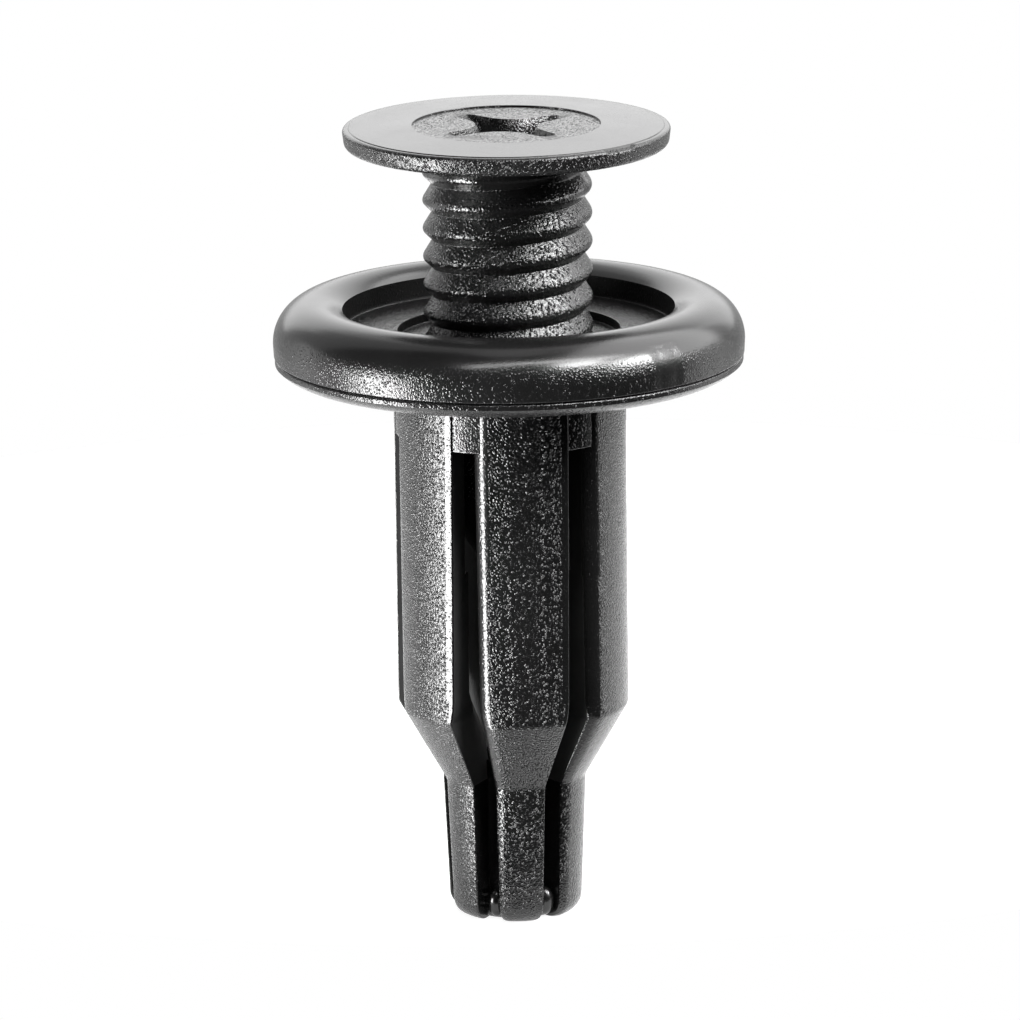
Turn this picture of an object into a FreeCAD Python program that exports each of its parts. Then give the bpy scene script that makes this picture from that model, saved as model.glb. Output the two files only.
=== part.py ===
"""Screw push rivet for a 10 mm panel hole: a six-legged grommet and the threaded pin that spreads it.

Units are millimetres. The frame has +Z up, and its origin is where the axis meets the underside of
the flange, the face that lies on the panel. The pin stands raised, as the rivet is supplied.
"""
import FreeCAD, Part
import os
import Sketcher

SIZES = {
    # flange: a rolled ring over a thin lip, with a recess that takes the pin's head
    "flange_dia": 20.0,
    "roll_radius": 1.8,
    "roll_height": 1.49,
    "roll_inset": 1.15,
    "lip_dia": 19.86,
    "lip_height": 0.86,
    "lip_side": 0.26,
    "lip_bevel": 0.3,
    "lip_slope_width": 1.35,
    "parting_step": 0.09,
    "recess_height": 1.95,
    "pocket_dia": 9.4,
    "pocket_depth": 0.4,
    # stem: a round collar, then six legs with a little draft, a shoulder, a taper and a closed tip
    "stem_dia": 9.85,
    "collar_depth": 2.3,
    "shoulder_dia": 9.82,
    "shoulder_depth": 14.3,
    "taper_length": 3.16,
    "tip_top_dia": 6.12,
    "tip_end_dia": 5.6,
    "stem_depth": 23.5,
    "tip_bevel": 0.35,
    # slots between the legs
    "leg_count": 6,
    "slot_depth": 2.47,
    "slot_width": 1.1,
    "slot_shoulder_width": 1.32,
    "slot_tip_width": 1.2,
    "slot_end_round": 0.7,
    "tip_web": 1.1,
    "core_post": 3.3,
    "leg_bevel": 0.15,
    # hollow inside the legs: wide for the thread, then close round the shank, the cone and the spigot
    "bore_depth": 8.0,
    "cone_top_depth": 13.2,
    "cone_end_depth": 16.4,
    "throat_depth": 19.3,
    # pin: flat head, neck, core, cone and spigot
    "head_dia": 13.9,
    "head_thickness": 0.92,
    "head_bevel": 0.15,
    "head_draft": 0.12,
    "disc_dia": 7.9,
    "disc_depth": 0.1,
    "neck_dia": 6.9,
    "neck_length": 0.6,
    "core_dia": 6.4,
    "shank_length": 15.0,
    "cone_length": 3.2,
    "spigot_dia": 2.4,
    "spigot_length": 3.0,
    "spigot_bevel": 0.4,
    # thread: a single right-hand start with even flanks
    "thread_dia": 7.16,
    "thread_pitch": 1.21,
    "thread_start": 0.5,
    "thread_length": 9.07,
    "thread_embed": 0.3,
    "crest_share": 0.5,
    "tooth_share": 0.93,
    # cross recess for the driver
    "cross_span": 5.6,
    "cross_tip_width": 0.8,
    "cross_waist": 2.6,
    "cross_depth": 2.1,
    "cross_floor_share": 0.45,
    # fits
    "thread_clearance": 0.1,
    "shank_clearance": 0.1,
    "spigot_clearance": 0.1,
    "head_clearance": 0.1,
    "seat_clearance": 0.05,
    "pin_travel": 7.85,
    "pin_turn": -8.5,
}
SHEET = "Sizes"
OUT_DIR = "parts"
TOUCHING = 1e-4


def size(alias):
    """The expression that reads one size from the sheet."""
    return f"{SHEET}.{alias}"


def half(alias):
    """The expression for half of a size, such as a radius."""
    return f"{SHEET}.{alias} / 2"


def fill_sheet(doc):
    """Write every driving size into a spreadsheet cell that carries its name."""
    sheet = doc.addObject("Spreadsheet::Sheet", SHEET)
    for row, (alias, value) in enumerate(SIZES.items(), start=1):
        sheet.set(f"A{row}", alias)
        sheet.set(f"B{row}", str(value))
        sheet.setAlias(f"B{row}", alias)
    doc.recompute()


def new_body(doc, label):
    """An empty body whose label names its file."""
    body = doc.addObject("PartDesign::Body", label)
    body.Label = label
    return body


def origin_feature(body, role):
    """An axis or plane of the body's own origin."""
    return next(feature for feature in body.Origin.OriginFeatures if feature.Role == role)


class Outline:
    """A sketch of one closed chain of lines and arcs whose corners follow the sheet.

    Each step is a corner, as two expressions, reached by a straight line. A step with an arc's
    radius and side too is reached by that arc: +1 turns left on the way to it, -1 turns right.
    """

    def __init__(self, body, name, plane, offset=None):
        self.sketch = body.newObject("Sketcher::SketchObject", name)
        self.sketch.AttachmentSupport = [(origin_feature(body, plane), "")]
        self.sketch.MapMode = "FlatFace"
        if offset:
            self.sketch.setExpression("AttachmentOffset.Base.z", offset)

    def value(self, expression):
        """The number that an expression has now."""
        return float(self.sketch.evalExpression(expression))

    def edge(self, start, end, step):
        """The line or arc from one corner to the next."""
        if len(step) == 2:
            return Part.LineSegment(start, end)
        radius, side = self.value(step[2]), step[3]
        chord = end - start
        rise = (radius ** 2 - (chord.Length / 2) ** 2) ** 0.5
        left = FreeCAD.Vector(-chord.y, chord.x, 0).normalize()
        return Part.Arc(start, (start + end) / 2 - left * side * (radius - rise), end)

    def bind(self, kind, *args, expression):
        """Add a constraint and tie its value to an expression."""
        constraint = Sketcher.Constraint(kind, *args, self.value(expression))
        index = self.sketch.addConstraint(constraint)
        self.sketch.setExpression(f"Constraints[{index}]", expression)

    def draw(self, steps):
        """Draw the chain through all steps and back to the first one."""
        corners = [FreeCAD.Vector(self.value(step[0]), self.value(step[1]), 0) for step in steps]
        for i, step in enumerate(steps):
            self.sketch.addGeometry(self.edge(corners[i - 1], corners[i], step), False)
        for i, step in enumerate(steps):
            following = (i + 1) % len(steps)
            end = end_point(step)
            start = 3 - end_point(steps[following])
            self.sketch.addConstraint(Sketcher.Constraint("Coincident", i, end, following, start))
            self.bind("DistanceX", -1, 1, i, end, expression=step[0])
            self.bind("DistanceY", -1, 1, i, end, expression=step[1])
            if len(step) == 4:
                self.bind("Radius", i, expression=step[2])
        return self.sketch


def end_point(step):
    """Which sketch point of an edge is its far end: an arc that turns right is kept backwards."""
    return 1 if len(step) == 4 and step[3] < 0 else 2


def add_feature(body, kind, name, **properties):
    """Add a PartDesign feature, set its properties and make it the body's tip."""
    feature = body.newObject(f"PartDesign::{kind}", name)
    for key, value in properties.items():
        setattr(feature, key, value)
    body.Tip = feature
    return feature


def revolve(body, name, sketch):
    """Turn a half section about the sketch's upright axis."""
    return add_feature(body, "Revolution", name, Profile=sketch, ReferenceAxis=(sketch, ["V_Axis"]), Angle=360)


def grommet_section(body):
    """The half section of flange, stem and hollow, from the tip up and back down inside."""
    stem, lip, flange = half("stem_dia"), half("lip_dia"), half("flange_dia")
    tip, pocket = half("tip_end_dia"), half("pocket_dia")
    recess = f"{half('head_dia')} + {size('head_clearance')}"
    bore = f"{half('thread_dia')} + {size('thread_clearance')}"
    sleeve = f"{half('core_dia')} + {size('shank_clearance')}"
    throat = f"{half('spigot_dia')} + {size('spigot_clearance')}"
    lip_rise = f"({size('lip_height')} - {size('lip_side')})"
    crown = f"({flange} - {size('roll_radius')})"
    mouth = f"max({recess}; {crown} - {size('roll_inset')})"
    mouth_height = f"{size('roll_height')} + sqrt({size('roll_radius')} ^ 2 - ({crown} - {mouth}) ^ 2)"
    pocket_floor = f"{size('recess_height')} - {size('pocket_depth')}"
    taper_end = f"-{size('shoulder_depth')} - {size('taper_length')}"
    return Outline(body, "grommet_section", "XZ_Plane").draw([
        ("0", f"-{size('stem_depth')}"),
        (f"{tip} - {size('tip_bevel')}", f"-{size('stem_depth')}"),
        (tip, f"-{size('stem_depth')} + {size('tip_bevel')}"),
        (half("tip_top_dia"), taper_end),
        (half("shoulder_dia"), f"-{size('shoulder_depth')}"),
        (stem, f"-{size('collar_depth')}"),
        (stem, "0"),
        (f"{lip} - {size('lip_slope_width')}", "0"),
        (f"{lip} - {size('lip_bevel')}", f"{lip_rise} - {size('lip_bevel')}"),
        (lip, lip_rise),
        (lip, size("lip_height")),
        (flange, f"{size('lip_height')} + {size('parting_step')}"),
        (flange, size("roll_height")),
        (mouth, mouth_height, size("roll_radius"), 1),
        (recess, size("recess_height")),
        (pocket, size("recess_height")),
        (pocket, pocket_floor),
        (bore, pocket_floor),
        (bore, f"-{size('bore_depth')}"),
        (sleeve, f"-{size('bore_depth')} - (({bore}) - ({sleeve}))"),
        (sleeve, f"-{size('cone_top_depth')}"),
        (throat, f"-{size('cone_end_depth')}"),
        (throat, f"-{size('throat_depth')}"),
        ("0", f"-{size('throat_depth')}"),
    ])


def slot_outline(body):
    """One slot between two legs, seen along its own radius: wider at the shoulder, round below."""
    top, shoulder, tip = half("slot_width"), half("slot_shoulder_width"), half("slot_tip_width")
    slot_top = f"-{size('slot_depth')}"
    taper_top = f"-{size('shoulder_depth')}"
    taper_end = f"-{size('shoulder_depth')} - {size('taper_length')}"
    slot_end = f"-{size('stem_depth')} + {size('tip_web')}"
    return Outline(body, "slot_outline", "YZ_Plane", offset=half("core_post")).draw([
        (tip, slot_end, size("slot_end_round"), 1),
        (tip, taper_end),
        (shoulder, taper_top),
        (top, slot_top),
        (f"-{top}", slot_top),
        (f"-{shoulder}", taper_top),
        (f"-{tip}", taper_end),
        (f"-{tip}", slot_end),
    ])


def leg_edges(body):
    """The long outer edges of the legs, beside the slots, from the slots' tops to the shoulder."""
    values = body.Document.getObject(SHEET)
    levels = (-values.shoulder_depth, -values.slot_depth)
    names = []
    for number, edge in enumerate(body.Shape.Edges, start=1):
        heights = sorted(vertex.Z for vertex in edge.Vertexes)
        if len(heights) == 2 and all(abs(z - level) < TOUCHING for z, level in zip(heights, levels)):
            names.append(f"Edge{number}")
    return names


def build_grommet(doc):
    """The grommet: its turned section, cut by one slot for each leg."""
    body = new_body(doc, "grommet")
    revolve(body, "moulding", grommet_section(body))
    doc.recompute()
    slot = add_feature(body, "Pocket", "leg_slot", Profile=slot_outline(body), Type="Length", Reversed=True)
    slot.setExpression("Length", size("stem_dia"))
    slots = add_feature(
        body, "PolarPattern", "leg_slots",
        Originals=[slot], Axis=(origin_feature(body, "Z_Axis"), [""]), Angle=360,
    )
    slots.setExpression("Occurrences", size("leg_count"))
    doc.recompute()
    bevel = add_feature(body, "Chamfer", "leg_bevel", Base=(slots, leg_edges(body)))
    bevel.setExpression("Size", size("leg_bevel"))
    doc.recompute()
    return body


def pin_section(body):
    """The half section of the pin, from its spigot up to its head, with z at the head's underside."""
    spigot, core, neck = half("spigot_dia"), half("core_dia"), half("neck_dia")
    head, disc = half("head_dia"), half("disc_dia")
    bevel, draft, top = size("head_bevel"), size("head_draft"), size("head_thickness")
    cone_end = f"-{size('shank_length')} - {size('cone_length')}"
    pin_end = f"{cone_end} - {size('spigot_length')}"
    disc_face = f"{top} - {size('disc_depth')}"
    return Outline(body, "pin_section", "XZ_Plane").draw([
        ("0", pin_end),
        (f"{spigot} - {size('spigot_bevel')}", pin_end),
        (spigot, f"{pin_end} + {size('spigot_bevel')}"),
        (spigot, cone_end),
        (core, f"-{size('shank_length')}"),
        (core, f"-{size('neck_length')} - ({neck} - {core})"),
        (neck, f"-{size('neck_length')}"),
        (neck, "0"),
        (f"{head} - {draft} - {bevel}", "0"),
        (f"{head} - {draft}", bevel),
        (head, f"{top} - {bevel}"),
        (f"{head} - {bevel}", top),
        (disc, top),
        (disc, disc_face),
        ("0", disc_face),
    ])


def thread_tooth(body):
    """One tooth of the thread at its lower end, rooted inside the core."""
    base = f"-{size('thread_start')} - {size('thread_length')}"
    core, crest, root = half("core_dia"), half("thread_dia"), f"{half('core_dia')} - {size('thread_embed')}"
    crest_level = f"{base} + {size('crest_share')} * {size('thread_pitch')}"
    tooth_top = f"{base} + {size('tooth_share')} * {size('thread_pitch')}"
    return Outline(body, "thread_tooth", "XZ_Plane").draw([
        (root, base),
        (core, base),
        (crest, crest_level),
        (core, tooth_top),
        (root, tooth_top),
    ])


def cross_outline(body, name, level, share):
    """The recess at one level: four blunt arms that meet at a waist, at a share of the mouth's size."""
    reach, width = f"{half('cross_span')} * {share}", f"{half('cross_tip_width')} * {share}"
    waist = f"{half('cross_waist')} * {share}"
    steps = []
    for x, y in ((1, 1), (-1, 1), (-1, -1), (1, -1)):
        steps += [
            (f"({x} * {reach} + {y} * {width}) / sqrt(2)", f"({y} * {reach} - {x} * {width}) / sqrt(2)"),
            (f"({x} * {reach} - {y} * {width}) / sqrt(2)", f"({y} * {reach} + {x} * {width}) / sqrt(2)"),
            (f"({x} - {y}) / 2 * {waist}", f"({x} + {y}) / 2 * {waist}"),
        ]
    return Outline(body, name, "XY_Plane", offset=level).draw(steps)


def build_pin(doc):
    """The pin: its turned section, the thread wound on it and the cross recess in its head."""
    body = new_body(doc, "screw_pin")
    revolve(body, "turning", pin_section(body))
    doc.recompute()
    tooth = thread_tooth(body)
    thread = add_feature(body, "AdditiveHelix", "thread", Profile=tooth, ReferenceAxis=(tooth, ["V_Axis"]), Mode=0)
    thread.setExpression("Pitch", size("thread_pitch"))
    thread.setExpression("Height", f"{size('thread_length')} - {size('thread_pitch')}")
    doc.recompute()
    mouth_level = f"{size('head_thickness')} - {size('disc_depth')}"
    floor_level = f"{mouth_level} - {size('cross_depth')}"
    mouth = cross_outline(body, "cross_mouth", mouth_level, "1")
    floor = cross_outline(body, "cross_floor", floor_level, size("cross_floor_share"))
    add_feature(body, "SubtractiveLoft", "cross_recess", Profile=mouth, Sections=[floor])
    raised = f"{size('recess_height')} + {size('seat_clearance')} + {size('pin_travel')}"
    body.setExpression("Placement.Base.z", raised)
    body.setExpression("Placement.Rotation.Angle", size("pin_turn"))
    doc.recompute()
    return body


def check(doc, bodies):
    """Stop before anything is written if a feature failed or a body isn't one valid solid."""
    failed = [obj.Name for obj in doc.Objects if {"Invalid", "Error"} & set(obj.State)]
    if failed:
        raise RuntimeError(f"failed features: {failed}")
    for body in bodies:
        if body.Shape.isNull() or not body.Shape.isValid() or len(body.Shape.Solids) != 1:
            raise RuntimeError(f"{body.Label} is not one valid solid")


def main():
    doc = FreeCAD.newDocument("push_rivet")
    fill_sheet(doc)
    bodies = [build_grommet(doc), build_pin(doc)]
    check(doc, bodies)
    os.makedirs(OUT_DIR, exist_ok=True)
    for body in bodies:
        body.Shape.exportStep(os.path.join(OUT_DIR, f"{body.Label}.step"))
        print(f"{body.Label}: volume {body.Shape.Volume:.3f}")


main()
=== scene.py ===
"""Looks of the screw push rivet: its six-legged grommet and its threaded pin, in grained black nylon.

Sizes are written in millimetres and made metres as each mesh is built. The frame has +Z up, and its
origin is where the axis meets the underside of the flange.
"""
import logging
import math
from dataclasses import dataclass
from enum import Enum, IntEnum

import bmesh
import bpy
from mathutils import Matrix, Vector


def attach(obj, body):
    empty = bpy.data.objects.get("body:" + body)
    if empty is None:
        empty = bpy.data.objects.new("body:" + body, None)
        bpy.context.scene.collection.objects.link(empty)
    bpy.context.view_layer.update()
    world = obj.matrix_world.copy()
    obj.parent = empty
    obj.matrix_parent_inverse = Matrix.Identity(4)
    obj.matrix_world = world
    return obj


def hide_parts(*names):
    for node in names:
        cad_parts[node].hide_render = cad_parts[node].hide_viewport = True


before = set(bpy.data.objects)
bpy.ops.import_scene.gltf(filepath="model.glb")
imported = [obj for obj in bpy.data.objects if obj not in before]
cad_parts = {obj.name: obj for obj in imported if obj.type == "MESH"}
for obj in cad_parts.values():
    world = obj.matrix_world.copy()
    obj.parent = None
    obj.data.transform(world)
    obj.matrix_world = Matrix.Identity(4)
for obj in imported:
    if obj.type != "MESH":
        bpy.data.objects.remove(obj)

MM = 0.001
MERGE = 1e-7  # metres within which two corners are one
LONG_RUN = 0.25  # mm past which a straight run gets a point near each end
SUPPORT = 0.03  # mm from the run's end to that point
SHARP_ANGLE = math.radians(32)
MIDDLE = -6.0  # mm, the height that the lamps face
LEFT, RIGHT = -1, 1  # a leg's two sides, seen from outside with the tip down
log = logging.getLogger("push_rivet")


# ---------------------------------------------------------------- mesh tools


@dataclass(frozen=True)
class Corner:
    """One corner of a turned section: its radius and height, and the offset that rounds it, in mm."""

    radius: float
    height: float
    rounding: float = 0.0
    segments: int = 4


def draw_chain(corners: list[Corner], closed: bool) -> bmesh.types.BMesh:
    """Draw a section in the XZ plane as a chain of edges with rounded corners.

    A long run gets a point near each end, so that smooth shading leaves it flat between them.

    Args:
        corners: The section's corners in order.
        closed: Whether the last corner joins the first.

    Returns:
        A bmesh that holds only the chain.
    """
    bm = bmesh.new()
    verts = [bm.verts.new((c.radius * MM, 0.0, c.height * MM)) for c in corners]
    for start, end in zip(verts, verts[1:]):
        bm.edges.new((start, end))
    if closed:
        bm.edges.new((verts[-1], verts[0]))
    for vert, corner in zip(verts, corners):
        if corner.rounding:
            bmesh.ops.bevel(
                bm, geom=[vert], offset=corner.rounding * MM, offset_type="OFFSET",
                segments=corner.segments, profile=0.5, affect="VERTICES",
                clamp_overlap=True, material=-1,
            )
    for edge in [edge for edge in bm.edges if edge.calc_length() > LONG_RUN * MM]:
        first, last = edge.verts
        _, near = bmesh.utils.edge_split(edge, first, SUPPORT * MM / edge.calc_length())
        rest = next(run for run in near.link_edges if last in run.verts)
        bmesh.utils.edge_split(rest, last, SUPPORT * MM / rest.calc_length())
    return bm


def turn(bm: bmesh.types.BMesh, steps: int) -> bmesh.types.BMesh:
    """Turn a chain once round the Z axis, and close whatever stays open with flat caps.

    Args:
        bm: The chain, which is changed in place.
        steps: How many facets go round.

    Returns:
        The same bmesh, now a closed skin.
    """
    bmesh.ops.spin(
        bm, geom=bm.verts[:] + bm.edges[:], cent=(0, 0, 0), axis=(0, 0, 1), dvec=(0, 0, 0),
        angle=math.tau, steps=steps, use_merge=True, use_duplicate=False,
    )
    bmesh.ops.remove_doubles(bm, verts=bm.verts[:], dist=MERGE)
    bmesh.ops.holes_fill(bm, edges=[edge for edge in bm.edges if edge.is_boundary], sides=0)
    bmesh.ops.recalc_face_normals(bm, faces=bm.faces[:])
    return bm


def loft(outlines: list[list[Vector]]) -> bmesh.types.BMesh:
    """Draw a closed skin through outlines that have the same number of points.

    Args:
        outlines: The outlines from one end to the other, in metres.

    Returns:
        The skin, with a flat cap at each end.
    """
    bm = bmesh.new()
    ring = [bm.verts.new(point) for point in outlines[0]]
    bm.faces.new(ring)
    for outline in outlines[1:]:
        pairs = [(ring[i - 1], ring[i]) for i in range(len(ring))]
        edges = [bm.edges.get(pair) or bm.edges.new(pair) for pair in pairs]
        raised = bmesh.ops.extrude_edge_only(bm, edges=edges)["geom"]
        fresh = {item for item in raised if isinstance(item, bmesh.types.BMVert)}
        ring = [next(e.other_vert(v) for e in v.link_edges if e.other_vert(v) in fresh) for v in ring]
        for vert, point in zip(ring, outline):
            vert.co = point
    bm.faces.new(ring)
    bmesh.ops.recalc_face_normals(bm, faces=bm.faces[:])
    return bm


def arc(centre: Vector, radius: float, start: float, end: float, steps: int) -> list[Vector]:
    """Points on a level arc.

    Args:
        centre: The arc's centre.
        radius: Its radius, in the centre's units.
        start: The first point's angle from +X, in radians.
        end: The last point's angle.
        steps: How many equal steps lie between them.

    Returns:
        The points in order, one more than there are steps.
    """
    angles = [start + (end - start) * i / steps for i in range(steps + 1)]
    return [centre + radius * Vector((math.cos(angle), math.sin(angle), 0)) for angle in angles]


def bearing_of(point: Vector) -> float:
    """The angle from +X of a point, seen from above, in radians."""
    return math.atan2(point.y, point.x)


def paint(bm: bmesh.types.BMesh, slot: int) -> bmesh.types.BMesh:
    """Give every face of a skin one material slot, and return the skin."""
    for face in bm.faces:
        face.material_index = slot
    return bm


def make_piece(
    name: str, skins: list[bmesh.types.BMesh], finishes: list[bpy.types.Material]
) -> bpy.types.Object:
    """Gather skins into one object at the origin, smooth over its rounded edges and sharp at the rest.

    Args:
        name: The object's name.
        skins: The bmeshes to gather, which are freed.
        finishes: The object's materials, in the order of its slots.

    Returns:
        The new object, linked to the scene.
    """
    whole = bmesh.new()
    for skin in skins:
        part = bpy.data.meshes.new(name)
        skin.to_mesh(part)
        skin.free()
        whole.from_mesh(part)
        bpy.data.meshes.remove(part)
    mesh = bpy.data.meshes.new(name)
    whole.to_mesh(mesh)
    whole.free()
    for finish in finishes:
        mesh.materials.append(finish)
    mesh.shade_smooth()
    mesh.set_sharp_from_angle(angle=SHARP_ANGLE)
    piece = bpy.data.objects.new(name, mesh)
    bpy.context.scene.collection.objects.link(piece)
    return piece


# ---------------------------------------------------------------- shader tools


class Signal:
    """A number that varies over a surface, with the arithmetic that adds Math nodes."""

    def __init__(self, shader: "Shader", socket: bpy.types.NodeSocket) -> None:
        """Keep the shader that owns the socket, and the socket."""
        self.shader = shader
        self.socket = socket

    def combine(self, operation: str, *others: "Signal | float") -> "Signal":
        """Add a Math node that takes this number first and the others after it."""
        inputs = dict(enumerate((self, *others)))
        return self.shader.signal("Math", {"operation": operation}, inputs)

    def __add__(self, other: "Signal | float") -> "Signal":
        """Add."""
        return self.combine("ADD", other)

    __radd__ = __add__

    def __mul__(self, other: "Signal | float") -> "Signal":
        """Multiply."""
        return self.combine("MULTIPLY", other)

    __rmul__ = __mul__

    def ramp(self, low: float, high: float) -> "Signal":
        """A smooth step from 0 at low to 1 at high, or the other way where low is the greater."""
        inputs = {"Value": self, "From Min": low, "From Max": high}
        return self.shader.signal("MapRange", {"interpolation_type": "SMOOTHSTEP"}, inputs)


class Shader:
    """The node tree of one material or world, with one method that adds any node."""

    def __init__(self, tree: bpy.types.NodeTree) -> None:
        """Take a node tree and clear it."""
        self.tree = tree
        tree.nodes.clear()

    def node(
        self, kind: str, settings: dict | None = None, inputs: dict | None = None
    ) -> bpy.types.Node:
        """Add one node.

        Args:
            kind: The node's type without its ShaderNode prefix.
            settings: Properties to set first, such as a Math node's operation.
            inputs: A value, a Signal or a socket for each named or numbered input.

        Returns:
            The new node.
        """
        node = self.tree.nodes.new(f"ShaderNode{kind}")
        for key, value in (settings or {}).items():
            setattr(node, key, value)
        for key, value in (inputs or {}).items():
            if isinstance(value, Signal):
                value = value.socket
            if isinstance(value, bpy.types.NodeSocket):
                self.tree.links.new(value, node.inputs[key])
            else:
                node.inputs[key].default_value = value
        return node

    def signal(self, kind: str, settings: dict | None, inputs: dict, output: str | int = 0) -> Signal:
        """Add one node and return one of its outputs as a number to reckon with."""
        return Signal(self, self.node(kind, settings, inputs).outputs[output])


# ---------------------------------------------------------------- finishes


class Grain(Enum):
    """How a mould face was finished: its grain's size in mm, and the depth as a share of that."""

    POLISHED = (0.10, 0.02)
    SATIN = (0.10, 0.06)
    SANDED = (0.10, 0.30)
    ERODED = (0.105, 0.66)
    COARSE = (0.125, 0.54)


PEBBLE_REACH = 0.62  # how far a pebble spreads, as a share of the grain's size
LEAST_PEBBLE = 0.15  # height of the flattest pebble, where the tallest is 1.15
DUST_FINENESS = 1.1  # how much finer the dust is than the grain
DUST_HEIGHT = 0.45
CLOUD_SCALE = 450.0  # clouds of unevenness along a metre


@dataclass(frozen=True)
class Nylon:
    """Black nylon as one mould face left it, with a grain that can fade between two heights; a dull
    copy of it with its own grey and little sheen is painted shade.

    fade holds the two heights in mm, and faded the share of the grain that stays above them.
    """

    name: str
    grain: Grain
    roughness: float = 0.2
    grey: float = 0.006
    index: float = 1.5
    gloss: float = 0.5
    fade: tuple[float, float] | None = None
    faded: float = 0.06

    def build(self) -> bpy.types.Material:
        """Make the material: eroded pebbles over slow unevenness, under a thin sheen."""
        material = bpy.data.materials.new(self.name)
        material.use_nodes = True
        shader = Shader(material.node_tree)
        size, depth = self.grain.value
        place = shader.node("TexCoord").outputs["Object"]
        scale = 1 / (size * MM)
        cells = shader.node("TexVoronoi", {"feature": "F1"}, {"Vector": place, "Scale": scale})
        reach = Signal(shader, cells.outputs["Distance"])
        luck = Signal(shader, cells.outputs["Color"])
        pebbles = reach.ramp(PEBBLE_REACH, 0.0) * (LEAST_PEBBLE + luck * luck)
        dust = shader.signal("TexNoise", None, {
            "Vector": place, "Scale": DUST_FINENESS * scale, "Detail": 2.0, "Roughness": 0.6,
        })
        cloud = shader.signal("TexNoise", None, {
            "Vector": place, "Scale": CLOUD_SCALE, "Detail": 3.0, "Roughness": 0.6,
        })
        height = pebbles + dust * DUST_HEIGHT
        if self.fade:
            rise = shader.signal("SeparateXYZ", None, {"Vector": place}, "Z")
            low, high = self.fade
            height = height * (self.faded + (1 - self.faded) * rise.ramp(high * MM, low * MM))
        distance = depth * size * MM
        bump = shader.node("Bump", None, {"Strength": 1.0, "Distance": distance, "Height": height})
        roughness = self.roughness - 0.04 + cloud * 0.08
        colour = shader.node(
            "Mix", {"data_type": "RGBA"},
            {"Factor": cloud, 6: (self.grey * 0.7,) * 3 + (1,), 7: (self.grey * 1.4,) * 3 + (1,)},
        ).outputs[2]
        surface = shader.node("BsdfPrincipled", None, {
            "Base Color": colour, "Roughness": roughness, "IOR": self.index,
            "Specular IOR Level": self.gloss, "Normal": bump.outputs[0],
        })
        shader.node("OutputMaterial", None, {"Surface": surface.outputs[0]})
        return material


# ---------------------------------------------------------------- grommet


class GrommetSlot(IntEnum):
    """The grommet's material slots, in the order of its finishes; the slots of the hollow and of the
    recess walls hold painted shade.
    """

    FLANGE = 0
    LEG = 1
    HOLLOW_PAINTED_SHADE = 2
    CORE = 3
    EDGE = 4
    WALL_PAINTED_SHADE = 5
    GATE = 6


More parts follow.
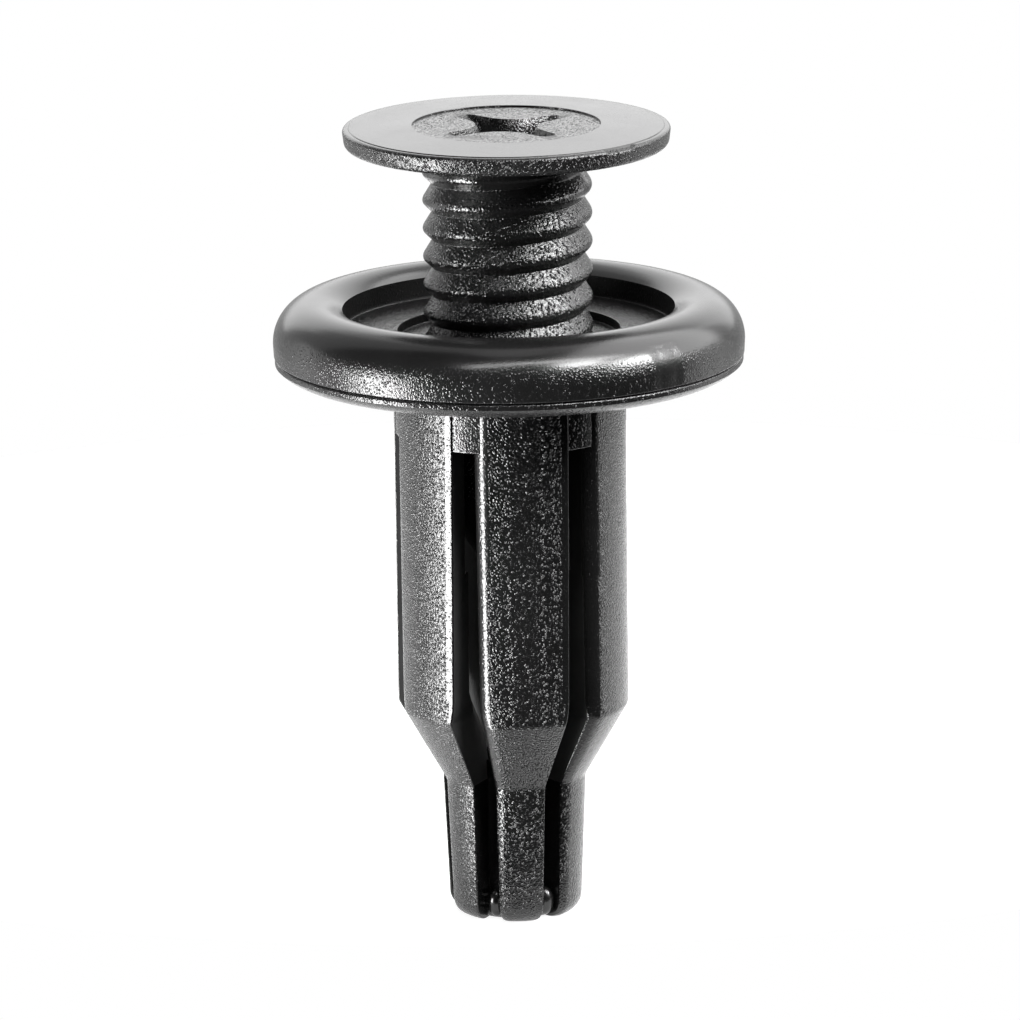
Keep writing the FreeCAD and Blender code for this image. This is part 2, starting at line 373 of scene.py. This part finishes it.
@dataclass
class Grommet:
    """The grommet: a rolled flange with a recess for the pin's head, and six tapered legs on a core.

    Lengths are in millimetres and bearings in degrees. tight_turn and face_turns, the bearings from
    a leg's middle between which its face lies, are in radians. Pairs named slot_ hold the left
    side first.
    """

    flange_radius: float = 10.0
    roll: float = 1.8
    roll_height: float = 1.49
    roll_steps: int = 32
    opening: float = 7.05
    gate_bearing: float = -54.6
    gate_width: float = 7.0
    gate_depth: float = 0.03
    gate_reach: float = 9.5
    gate_foot: float = 0.91
    recess_floor: float = 1.95
    pocket: float = 4.7
    pocket_floor: float = 1.55
    bore: float = 3.68
    bore_end: float = -8.0
    shank_bore: float = 3.31
    cone_top: float = -13.2
    cone_end: float = -16.4
    throat: float = 1.31
    throat_end: float = -19.3
    web: float = 4.86
    web_end: float = -2.47
    leg_top: float = 4.925
    shoulder: float = -14.3
    taper_end: float = -17.46
    tip: float = -23.5
    core: float = 1.65
    foot_place: tuple[float, float, float] = (2.02, 0.0, -22.72)
    foot_size: tuple[float, float, float] = (0.42, 0.4, 0.62)
    slot_top: tuple[float, float] = (0.31, 0.55)
    slot_tip: tuple[float, float] = (0.34, 0.58)
    slot_growth: float = 0.11
    waist: float = 0.13
    waist_reach: float = 1.0
    round_edge: float = 0.75
    tight_edge: float = 0.25
    tight_turn: float = math.radians(50)
    crisp_edge: float = 0.06
    face_turns: tuple[float, float] = (-0.31, 0.335)
    edge_steps: int = 5
    face_steps: int = 24
    back_steps: int = 4
    legs: int = 6
    steps: int = 288
    finishes: tuple[Nylon, ...] = (
        Nylon("flange_nylon", Grain.SANDED, roughness=0.22, fade=(1.9, 2.5)),
        Nylon("leg_nylon", Grain.ERODED, roughness=0.12),
        # The hollow's material is painted shade: a flat grey with no sheen sets how dim the inside of
        # the slots looks.
        Nylon("hollow_painted_shade", Grain.POLISHED, roughness=1.0, grey=0.045, gloss=0.0),
        Nylon("core_nylon", Grain.POLISHED, roughness=0.22),
        Nylon("edge_nylon", Grain.SANDED, roughness=0.2, fade=(-30.0, -25.0), faded=0.5),
        # The recess walls' material is painted shade: a rougher copy of the nylon with little sheen, so
        # that the walls stay dark.
        Nylon("wall_painted_shade", Grain.SANDED, roughness=0.5, gloss=0.1),
        Nylon("gate_nylon", Grain.SATIN, roughness=0.25),
    )

    def flange(self) -> bmesh.types.BMesh:
        """The flange, its recess and the web that joins the legs above the slots."""
        rim = self.flange_radius
        crown = rim - self.roll
        sweep = math.pi - math.acos((crown - self.opening) / self.roll)
        corners = [
            Corner(self.web, self.web_end, 0.08, 3),
            Corner(self.web, -0.02),
            Corner(rim - 1.65, 0.0, 0.3, 5),
            Corner(rim - 0.4, 0.22, 0.5, 6),
            Corner(rim - 0.07, 0.60, 0.2, 4),
            Corner(rim - 0.07, 0.80, 0.04, 2),
            Corner(rim - 0.18, 0.87),
            Corner(rim - 0.03, 0.92, 0.03, 2),
        ]
        for point in arc(Vector((crown, self.roll_height, 0)), self.roll, 0, sweep, self.roll_steps):
            corners.append(Corner(point.x, point.y))
        corners += [
            Corner(self.opening, self.recess_floor, 0.12, 4),
            Corner(self.pocket, self.recess_floor, 0.05, 3),
            Corner(self.pocket, self.pocket_floor, 0.05, 2),
            Corner(self.bore, self.pocket_floor, 0.05, 2),
            Corner(self.bore, self.web_end),
        ]
        skin = paint(turn(draw_chain(corners, closed=True), self.steps), GrommetSlot.FLANGE)
        for face in skin.faces:
            middle = face.calc_center_median()
            inside = middle.xy.length < self.opening * MM
            # Steep faces inside the opening, above the pocket's floor, get the recess walls' painted
            # shade.
            if inside and middle.z > (self.pocket_floor + 0.05) * MM and abs(face.normal.z) < 0.8:
                face.material_index = GrommetSlot.WALL_PAINTED_SHADE
        self.trim_gate(skin)
        return skin

    def trim_gate(self, skin: bmesh.types.BMesh) -> None:
        """Leave the small flat on the rim where the moulding's gate was trimmed off."""
        shrink = 1 - self.gate_depth / self.flange_radius
        for vert in skin.verts:
            off = math.degrees(bearing_of(vert.co)) - self.gate_bearing
            outside = vert.co.xy.length > self.gate_reach * MM and vert.co.z > self.gate_foot * MM
            if outside and abs(off) < self.gate_width / 2:
                vert.co.xy *= shrink
                for face in vert.link_faces:
                    face.material_index = GrommetSlot.GATE

    def half_slot(self, height: float, side: int) -> float:
        """Half of a slot's width at a height, beside the leg's LEFT or RIGHT edge."""
        top, tip = self.slot_top[side > 0], self.slot_tip[side > 0]
        if height > self.shoulder:
            share = (self.web_end - height) / (self.web_end - self.shoulder)
            near = max(0.0, 1 - (height - self.shoulder) / self.waist_reach)
            return top + self.slot_growth * max(0.0, share) + self.waist * near ** 2
        share = min(1.0, (self.shoulder - height) / (self.shoulder - self.taper_end))
        widest = top + self.slot_growth + self.waist
        return widest + (tip - widest) * share

    def hollow(self, height: float) -> float:
        """The legs' inner radius at a height: for the thread, the shank, its cone or its spigot."""
        if height > self.bore_end:
            return self.bore - 0.02
        slope = (self.shank_bore - self.throat) / (self.cone_top - self.cone_end)
        return max(self.throat, self.shank_bore - max(0.0, self.cone_top - height) * slope)

    def leg_side(self, radius: float, height: float, side: int) -> list[Vector]:
        """One side of a leg's level section, from the end of its outer face to the hollow.

        Args:
            radius: The leg's outer radius there.
            height: The section's height.
            side: LEFT for the well rounded edge, or RIGHT for the crisp one.

        Returns:
            Points in millimetres for a leg centred on +X.
        """
        half, scale = self.half_slot(height, side), radius / self.leg_top
        wide = self.round_edge * scale if side == LEFT else self.crisp_edge
        tight = self.tight_edge * scale if side == LEFT else self.crisp_edge
        along = Vector((math.cos(math.pi / self.legs), math.sin(math.pi / self.legs), 0))
        across = Vector((-along.y, along.x, 0))
        reach = half + tight + (wide - tight) * math.cos(self.tight_turn)
        centre = along * math.sqrt((radius - wide) ** 2 - reach ** 2) - across * reach
        start, end = bearing_of(centre), bearing_of(across)
        middle = end - self.tight_turn
        tight_centre = centre + (wide - tight) * Vector((math.cos(middle), math.sin(middle), 0))
        points = arc(centre, wide, start, middle, self.edge_steps)
        points += arc(tight_centre, tight, middle, end, self.edge_steps)[1:]
        inner = self.hollow(height)
        points.append(along * math.sqrt(inner ** 2 - half ** 2) - across * half)
        return [Vector((point.x, side * point.y, height)) for point in points]

    def leg_outline(self, radius: float, height: float) -> list[Vector]:
        """A leg's level section, centred on +X: its face, its two edges and its back in the hollow.

        Args:
            radius: The leg's outer radius there.
            height: The section's height.

        Returns:
            The outline's points in metres.
        """
        left, right = self.leg_side(radius, height, LEFT), self.leg_side(radius, height, RIGHT)
        axis, inner = Vector((0, 0, height)), self.hollow(height)
        face = arc(axis, radius, bearing_of(left[0]), bearing_of(right[0]), self.face_steps)
        back = arc(axis, inner, bearing_of(right[-1]), bearing_of(left[-1]), self.back_steps)
        return [point * MM for point in left[::-1] + face[1:-1] + right + back[1:-1]]

    def leg_levels(self) -> list[tuple[float, float]]:
        """The radius and height of each level section, from the flange down to the rounded tip."""
        underside = 1.5  # the radius within which the chain's last point is left out
        chain = draw_chain([
            Corner(self.leg_top, 0.05),
            Corner(self.leg_top, -2.0),
            Corner(self.leg_top - 0.005, -8.0),
            Corner(self.leg_top - 0.009, self.shoulder + 1.0),
            Corner(self.leg_top - 0.009, self.shoulder + 0.6),
            Corner(self.leg_top - 0.01, self.shoulder + 0.35),
            Corner(self.leg_top - 0.01, self.shoulder, 0.1, 3),
            Corner(4.0, -15.87),
            Corner(3.06, self.taper_end, 0.12, 3),
            Corner(2.93, -20.5),
            Corner(2.80, self.tip, 0.75, 8),
            Corner(underside - 0.1, self.tip),
        ], closed=False)
        points = [vert.co / MM for vert in chain.verts if vert.co.x > underside * MM]
        chain.free()
        levels = {(round(point.z, 4), round(point.x, 4)) for point in points}
        return [(radius, height) for height, radius in sorted(levels, reverse=True)]

    def leg(self, number: int) -> bmesh.types.BMesh:
        """One leg, turned to its place round the stem."""
        outlines = [self.leg_outline(radius, height) for radius, height in self.leg_levels()]
        skin = paint(loft(outlines), GrommetSlot.LEG)
        first, last = self.face_turns
        for face in skin.faces:
            middle = face.calc_center_median()
            above_tip = middle.z > self.taper_end * MM
            outward = face.normal.xy.dot(middle.xy) > 0.3 * middle.xy.length
            inside = abs(face.normal.z) < 0.9 and middle.xy.length < (self.leg_top - 0.4) * MM
            # Faces inside the hollow above the tip get painted shade; those in the tip get the core's
            # polished nylon.
            if inside and not outward:
                face.material_index = GrommetSlot.HOLLOW_PAINTED_SHADE if above_tip else GrommetSlot.CORE
            elif above_tip and not first < bearing_of(middle) < last:
                face.material_index = GrommetSlot.EDGE
        angle = -math.pi / 2 + number * math.tau / self.legs
        place = Matrix.Rotation(angle, 3, "Z")
        bmesh.ops.rotate(skin, cent=(0, 0, 0), matrix=place, verts=skin.verts[:])
        return skin

    def tip_core(self) -> bmesh.types.BMesh:
        """The core that joins the legs in the tip: a tube for the spigot, closed below."""
        return turn(draw_chain([
            Corner(0.3, self.throat_end),
            Corner(self.throat, self.throat_end),
            Corner(self.throat, -16.7),
            Corner(self.core, -16.6, 0.1, 3),
            Corner(self.core, -22.6, 0.3, 5),
            Corner(2.2, -22.75, 0.35, 6),
            Corner(2.15, self.tip + 0.05, 0.5, 6),
            Corner(0.4, self.tip + 0.06),
        ], closed=False), 96)

    def groove_foot(self, number: int) -> bmesh.types.BMesh:
        """The rounded lump at the foot of one groove, where the legs run together."""
        angle = -math.pi / 2 + (number + 0.5) * math.tau / self.legs
        place = Matrix.Rotation(angle, 4, "Z") @ Matrix.Translation(Vector(self.foot_place) * MM)
        matrix = place @ Matrix.Diagonal((*self.foot_size, 1.0))
        bm = bmesh.new()
        bmesh.ops.create_uvsphere(bm, u_segments=20, v_segments=14, radius=MM, matrix=matrix)
        return bm

    def build(self) -> bpy.types.Object:
        """Make the whole grommet as one piece."""
        skins = [self.flange(), paint(self.tip_core(), GrommetSlot.CORE)]
        skins += [self.leg(number) for number in range(self.legs)]
        skins += [paint(self.groove_foot(number), GrommetSlot.CORE) for number in range(self.legs)]
        piece = make_piece("grommet_moulding", skins, [finish.build() for finish in self.finishes])
        log.info("grommet: %d faces", len(piece.data.polygons))
        return piece


# ---------------------------------------------------------------- pin


class PinSlot(IntEnum):
    """The pin's material slots, in the order of its finishes; the shank's slot holds painted shade."""

    HEAD = 0
    THREAD = 1
    DISC = 2
    SHANK_PAINTED_SHADE = 3


@dataclass
class ScrewPin:
    """The pin: a flat head with a cross recess, a rounded thread, a shank, a cone and a spigot.

    Lengths are in millimetres, bearings and recess_turn in degrees. arm_side holds each point of an
    arm's side as its reach from the axis and its distance from the arm's middle. recess_levels
    holds the outline's size as a share of the mouth's, and how far down it lies as a share of the
    recess's depth.
    """

    head_under: float = 9.85
    head_radius: float = 6.95
    head_thickness: float = 0.92
    rim_inner: float = 6.66
    rim_top: float = 10.69
    disc_radius: float = 3.99
    disc_depth: float = 0.07
    neck: float = 3.66
    core: float = 3.21
    core_length: float = 15.0
    cone_length: float = 3.2
    spigot: float = 1.2
    spigot_length: float = 3.0
    crest: float = 3.59
    crest_span: tuple[float, float] = (0.38, 0.58)
    crest_rounding: float = 0.1
    pitch: float = 1.21
    thread_low: float = 0.43
    turns: int = 7
    turn_steps: int = 120
    waist: float = 1.32
    arm_side: tuple[tuple[float, float], ...] = (
        (1.22, 0.70), (1.6, 0.54), (2.1, 0.46), (2.75, 0.42), (3.0, 0.24),
    )
    recess_levels: tuple[tuple[float, float], ...] = ((1.0, 0.0), (0.82, 0.15), (0.66, 0.6), (0.4, 1.0))
    recess_depth: float = 2.1
    recess_turn: float = -13.0
    gate_bearing: float = -52.6
    gate_width: float = 13.0
    gate_depth: float = 0.09
    gate_reach: float = 6.7
    gate_foot: float = 10.4
    steps: int = 240
    finishes: tuple[Nylon, ...] = (
        Nylon("head_nylon", Grain.ERODED, roughness=0.22, fade=(10.5, 10.66), faded=0.04),
        Nylon("thread_nylon", Grain.COARSE, roughness=0.13, fade=(7.2, 8.6), faded=0.3),
        Nylon("disc_nylon", Grain.SANDED, roughness=0.14),
        # The shank's material is painted shade: a rough copy of the nylon with almost no sheen, so that
        # the shank, cone and spigot stay dark inside the grommet.
        Nylon("shank_painted_shade", Grain.POLISHED, roughness=0.8, grey=0.01, gloss=0.05),
    )

    def body(self) -> bmesh.types.BMesh:
        """The turned body: head, neck, core, cone and spigot, nicked where the gate was trimmed."""
        under, top = self.head_under, self.head_under + self.head_thickness
        core_end = under - self.core_length
        cone_end = core_end - self.cone_length
        end = cone_end - self.spigot_length
        corners = [
            Corner(self.disc_radius, top - self.disc_depth),
            Corner(self.disc_radius, top, 0.03, 2),
            Corner(self.rim_inner, self.rim_top, 0.02, 2),
            Corner(self.rim_inner + 0.02, self.rim_top - 0.03),
            Corner(self.head_radius, self.rim_top - 0.04, 0.16, 5),
            Corner(self.head_radius - 0.1, under, 0.25, 5),
            Corner(self.neck, under, 0.4, 5),
            Corner(self.neck - 0.36, under - 0.8, 0.2, 3),
            Corner(self.core, under - 1.2),
            Corner(self.core, core_end, 0.2, 3),
            Corner(self.spigot, cone_end, 0.2, 3),
            Corner(self.spigot, end, 0.35, 5),
            Corner(self.spigot / 2, end),
        ]
        skin = turn(draw_chain(corners, closed=False), self.steps)
        for vert in skin.verts:
            off = math.degrees(bearing_of(vert.co)) - self.gate_bearing
            outside = vert.co.xy.length > self.gate_reach * MM and vert.co.z > self.gate_foot * MM
            if outside and abs(off) < self.gate_width / 2:
                vert.co.z -= self.gate_depth * MM
        return skin

    def thread(self) -> bmesh.types.BMesh:
        """The thread: one ridge with a rounded crest, wound up the core."""
        low, root, foot = self.thread_low, self.core - 0.3, self.core - 0.01
        crest_low, crest_high = self.crest_span
        bm = draw_chain([
            Corner(root, low),
            Corner(foot, low),
            Corner(self.crest, low + crest_low, self.crest_rounding, 4),
            Corner(self.crest, low + crest_high, self.crest_rounding, 4),
            Corner(foot, low + self.pitch),
            Corner(root, low + self.pitch),
        ], closed=True)
        section = bmesh.ops.contextual_create(bm, geom=bm.edges[:])["faces"]
        steps = self.turns * self.turn_steps
        bmesh.ops.spin(
            bm, geom=section + bm.verts[:] + bm.edges[:], cent=(0, 0, 0), axis=(0, 0, 1),
            dvec=(0, 0, self.pitch * MM / self.turn_steps), angle=math.tau * self.turns, steps=steps,
            use_merge=False, use_duplicate=False,
        )
        bmesh.ops.recalc_face_normals(bm, faces=bm.faces[:])
        return bm

    def recess_outline(self, share: float, height: float) -> list[Vector]:
        """The cross at one height: four arms whose sides sweep in to a narrow waist.

        Args:
            share: The outline's size, as a share of the mouth's.
            height: Its height.

        Returns:
            The outline's points in metres.
        """
        points = []
        for arm in range(4):
            angle = math.radians(self.recess_turn + 45 + 90 * arm)
            along = Vector((math.cos(angle), math.sin(angle), 0))
            across = Vector((-along.y, along.x, 0))
            points.append((along - across) * self.waist * share / math.sqrt(2))
            points += [(along * reach - across * half) * share for reach, half in self.arm_side]
            points += [(along * reach + across * half) * share for reach, half in self.arm_side[::-1]]
        return [Vector((p.x, p.y, height)) * MM for p in points]

    def cut_recess(self, piece: bpy.types.Object) -> None:
        """Cut the cross recess into the head with a lofted cutter, and free the cutter."""
        mouth = self.head_under + self.head_thickness - self.disc_depth
        outlines = [self.recess_outline(1.03, mouth + 0.3)]
        for share, depth in self.recess_levels:
            outlines.append(self.recess_outline(share, mouth - self.recess_depth * depth))
        cutter = make_piece("recess_cutter", [loft(outlines)], [])
        cut = piece.modifiers.new("cross_recess", "BOOLEAN")
        cut.operation, cut.solver, cut.object = "DIFFERENCE", "EXACT", cutter
        graph = bpy.context.evaluated_depsgraph_get()
        mesh = bpy.data.meshes.new_from_object(piece.evaluated_get(graph))
        piece.modifiers.clear()
        spare, piece.data = piece.data, mesh
        bpy.data.meshes.remove(spare)
        bpy.data.objects.remove(cutter)
        mesh.set_sharp_from_angle(angle=SHARP_ANGLE)

    def build(self) -> bpy.types.Object:
        """Make the whole pin as one piece."""
        materials = [finish.build() for finish in self.finishes]
        piece = make_piece("turned_body", [paint(self.body(), PinSlot.HEAD)], materials)
        self.cut_recess(piece)
        body = bmesh.new()
        body.from_mesh(piece.data)
        bpy.data.objects.remove(piece)
        disc_low = (self.head_under - 2.0) * MM
        disc_high = (self.head_under + self.head_thickness - self.disc_depth / 2) * MM
        for face in body.faces:
            middle = face.calc_center_median()
            # Faces below the flange, the shank, cone and spigot, get the shank's painted shade.
            if middle.z < 0:
                face.material_index = PinSlot.SHANK_PAINTED_SHADE
            elif middle.xy.length < self.disc_radius * MM and disc_low < middle.z < disc_high:
                face.material_index = PinSlot.DISC
        skins = [body, paint(self.thread(), PinSlot.THREAD)]
        piece = make_piece("screw_pin_moulding", skins, materials)
        log.info("pin: %d faces", len(piece.data.polygons))
        return piece


# ---------------------------------------------------------------- studio


def direction(bearing: float, elevation: float) -> Vector:
    """The unit vector towards a bearing from -Y and an elevation, both in degrees."""
    around, lift = math.radians(bearing), math.radians(elevation)
    level = math.cos(lift)
    return Vector((math.sin(around) * level, -math.cos(around) * level, math.sin(lift)))


@dataclass(frozen=True)
class Curtain:
    """A curtain round the studio, between two bearings from the camera.

    The bearings are in degrees and the height above the flange in metres. The cloth's glow runs
    from 0, black, to 1, white.
    """

    first: float
    last: float
    height: float
    glow: float


@dataclass(frozen=True)
class Softbox:
    """A soft lamp that faces the rivet, placed by its bearing from the camera and its elevation.

    Both angles are in degrees, and the lengths in metres.
    """

    name: str
    bearing: float
    elevation: float
    width: float
    height: float
    radiance: float
    distance: float = 0.3

    def place(self, camera_bearing: float) -> None:
        """Hang the lamp and aim it at the rivet.

        Args:
            camera_bearing: The camera's own bearing from -Y, in degrees.
        """
        lamp = bpy.data.lights.new(self.name, "AREA")
        lamp.shape, lamp.size, lamp.size_y = "RECTANGLE", self.width, self.height
        lamp.energy = self.radiance * math.pi * self.width * self.height
        box = bpy.data.objects.new(self.name, lamp)
        back = direction(camera_bearing + self.bearing, self.elevation)
        box.location = back * self.distance + Vector((0, 0, MIDDLE * MM))
        box.rotation_mode = "QUATERNION"
        box.rotation_quaternion = back.to_track_quat("Z", "Y")
        box.visible_camera = False
        bpy.context.scene.collection.objects.link(box)


@dataclass
class Studio:
    """A white floor, a white surround, curtains, soft lamps and the camera.

    The aim, the lens's focal length and the floor's height are in millimetres, other lengths in
    metres and angles in degrees.
    """

    bearing: float = -6.5
    elevation: float = 13.3
    distance: float = 0.48
    lens: float = 398.6
    roll: float = -0.73
    aim: tuple[float, float, float] = (-0.05, 0.0, -5.965)
    floor_height: float = -23.5
    table_radius: float = 0.05
    table_front: float = 0.006
    curtain_radius: float = 0.62
    curtain_drop: float = 0.6
    curtains: tuple[Curtain, ...] = (
        Curtain(first=-110.0, last=88.0, height=3.4, glow=0.0),
        Curtain(first=-150.0, last=-110.0, height=3.4, glow=0.55),
        Curtain(first=88.0, last=140.0, height=3.4, glow=0.5),
        Curtain(first=140.0, last=210.0, height=0.06, glow=0.55),
    )
    ambient: float = 0.12
    boxes: tuple[Softbox, ...] = (
        Softbox("back_box", 180, 23, 0.4, 0.17, 1.12),
        Softbox("left_box", -67, -22, 0.09, 0.34, 40.0),
        Softbox("left_back_box", -112, -6, 0.18, 0.28, 1.2),
        Softbox("right_back_box", 92, 44, 0.46, 0.32, 4.0),
        Softbox("right_side_box", 114, -8, 0.16, 0.22, 1.2),
        Softbox("right_box", 72, 33, 0.11, 0.08, 34.0),
        Softbox("crest_box", 24, 59, 0.36, 0.025, 16.0),
        Softbox("thread_box", 42, 46, 0.10, 0.06, 28.0),
    )

    def white_rays(self, shader: Shader) -> Signal:
        """1 for rays that come from the camera, a glossy face or a clear one, else 0."""
        path = shader.node("LightPath")
        names = ("Is Camera Ray", "Is Glossy Ray", "Is Transmission Ray")
        camera, glossy, clear = (Signal(shader, path.outputs[name]) for name in names)
        return camera.combine("MAXIMUM", glossy).combine("MAXIMUM", clear)

    def lit_cloth(self, name: str, grey: float, glow: float) -> bpy.types.Material:
        """Make a matte material that also glows where it is seen directly or in a reflection.

        Args:
            name: The material's name.
            grey: How light the matte part is.
            glow: How bright the glow is.

        Returns:
            The material.
        """
        material = bpy.data.materials.new(name)
        material.use_nodes = True
        shader = Shader(material.node_tree)
        strength = self.white_rays(shader) * glow
        matte = shader.node("BsdfDiffuse", None, {"Color": (grey, grey, grey, 1)})
        light = shader.node("Emission", None, {"Color": (1, 1, 1, 1), "Strength": strength})
        both = shader.node("AddShader", None, {0: matte.outputs[0], 1: light.outputs[0]})
        shader.node("OutputMaterial", None, {"Surface": both.outputs[0]})
        return material

    def surround(self) -> None:
        """White for what sees it directly, and a plain low level of light for the rest."""
        world = bpy.data.worlds.new("surround")
        world.use_nodes = True
        bpy.context.scene.world = world
        shader = Shader(world.node_tree)
        strength = self.ambient + (1 - self.ambient) * self.white_rays(shader)
        light = shader.node("Background", None, {"Color": (1, 1, 1, 1), "Strength": strength})
        shader.node("OutputWorld", None, {"Surface": light.outputs[0]})

    def hang(self, curtain: Curtain) -> bpy.types.Object:
        """Hang one curtain, which shows only in reflections.

        Args:
            curtain: Where it hangs and how bright it is.

        Returns:
            The curtain's object.
        """
        bm = bmesh.new()
        low = math.radians(self.bearing + curtain.first)
        high = math.radians(self.bearing + curtain.last)
        start = Matrix.Rotation(low, 3, "Z") @ Vector((0, -self.curtain_radius, 0))
        foot = bm.verts.new(start - Vector((0, 0, self.curtain_drop)))
        top = bm.verts.new(start + Vector((0, 0, curtain.height)))
        edge = bm.edges.new((foot, top))
        bmesh.ops.spin(
            bm, geom=[foot, top, edge], cent=(0, 0, 0), axis=(0, 0, 1), dvec=(0, 0, 0),
            angle=high - low, steps=48, use_merge=False, use_duplicate=False,
        )
        cloth = self.lit_cloth("curtain_cloth", grey=0.02, glow=curtain.glow)
        piece = make_piece("curtain", [bm], [cloth])
        piece.visible_camera = False
        return piece

    def floor(self) -> bpy.types.Object:
        """The floor: a white table that keeps a faint shadow, with its front edge near the rivet."""
        bm = bmesh.new()
        bmesh.ops.create_circle(bm, cap_ends=True, segments=64, radius=self.table_radius)
        place = direction(self.bearing + 180, 0) * (self.table_radius - self.table_front)
        place.z = self.floor_height * MM
        bmesh.ops.translate(bm, vec=place, verts=bm.verts[:])
        return make_piece("floor", [bm], [self.lit_cloth("floor_white", grey=0.4, glow=0.93)])

    def camera(self) -> None:
        """The camera, turned a little about its own axis."""
        lens = bpy.data.cameras.new("camera")
        lens.lens, lens.sensor_width = self.lens, 36.0
        lens.clip_start, lens.clip_end = 0.01, 10.0
        camera = bpy.data.objects.new("camera", lens)
        back = direction(self.bearing, self.elevation)
        camera.location = Vector(self.aim) * MM + back * self.distance
        camera.rotation_mode = "QUATERNION"
        tilt = Matrix.Rotation(math.radians(self.roll), 3, "Z").to_quaternion()
        camera.rotation_quaternion = back.to_track_quat("Z", "Y") @ tilt
        bpy.context.scene.collection.objects.link(camera)
        bpy.context.scene.camera = camera

    def build(self) -> None:
        """Set up everything that isn't the rivet."""
        self.surround()
        self.floor()
        for curtain in self.curtains:
            self.hang(curtain)
        for box in self.boxes:
            box.place(self.bearing)
        self.camera()
        bpy.context.scene.view_settings.view_transform = "Standard"


def main() -> None:
    """Build the rivet's pieces in order, and the studio round them."""
    logging.basicConfig(level=logging.INFO, format="%(name)s: %(message)s")
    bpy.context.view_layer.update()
    grommet = Grommet().build()
    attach(grommet, "grommet")
    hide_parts("grommet")
    pin = ScrewPin().build()
    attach(pin, "pin")
    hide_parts("screw_pin")
    Studio().build()


if __name__ == "__main__":
    main()
